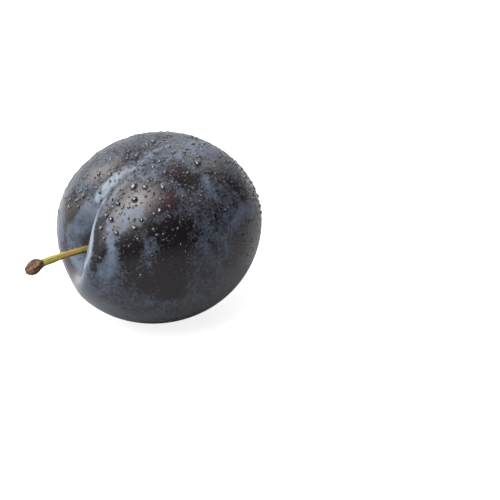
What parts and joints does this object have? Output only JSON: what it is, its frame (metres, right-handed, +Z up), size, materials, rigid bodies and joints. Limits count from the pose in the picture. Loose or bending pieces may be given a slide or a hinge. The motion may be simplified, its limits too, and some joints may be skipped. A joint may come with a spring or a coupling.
{
  "type": "plum",
  "caption": "Whole dark plum with a long crease and a stalk ending in a woody knob, lying on its side on a small flat spot.",
  "frame": {"origin": "centre of the small flat spot that the plum rests on", "axes": "+X along the fruit's length, away from the stalk; +Y towards the slimmer cheek; +Z up from the table, towards the crease"},
  "size_m": [0.0729, 0.052, 0.0514],
  "materials": {
    "skin": "satin",
    "stalk": "satin"
  },
  "bodies": {
    "root": {"fruit": "skin", "stalk": "stalk"}
  },
  "joints": []
}
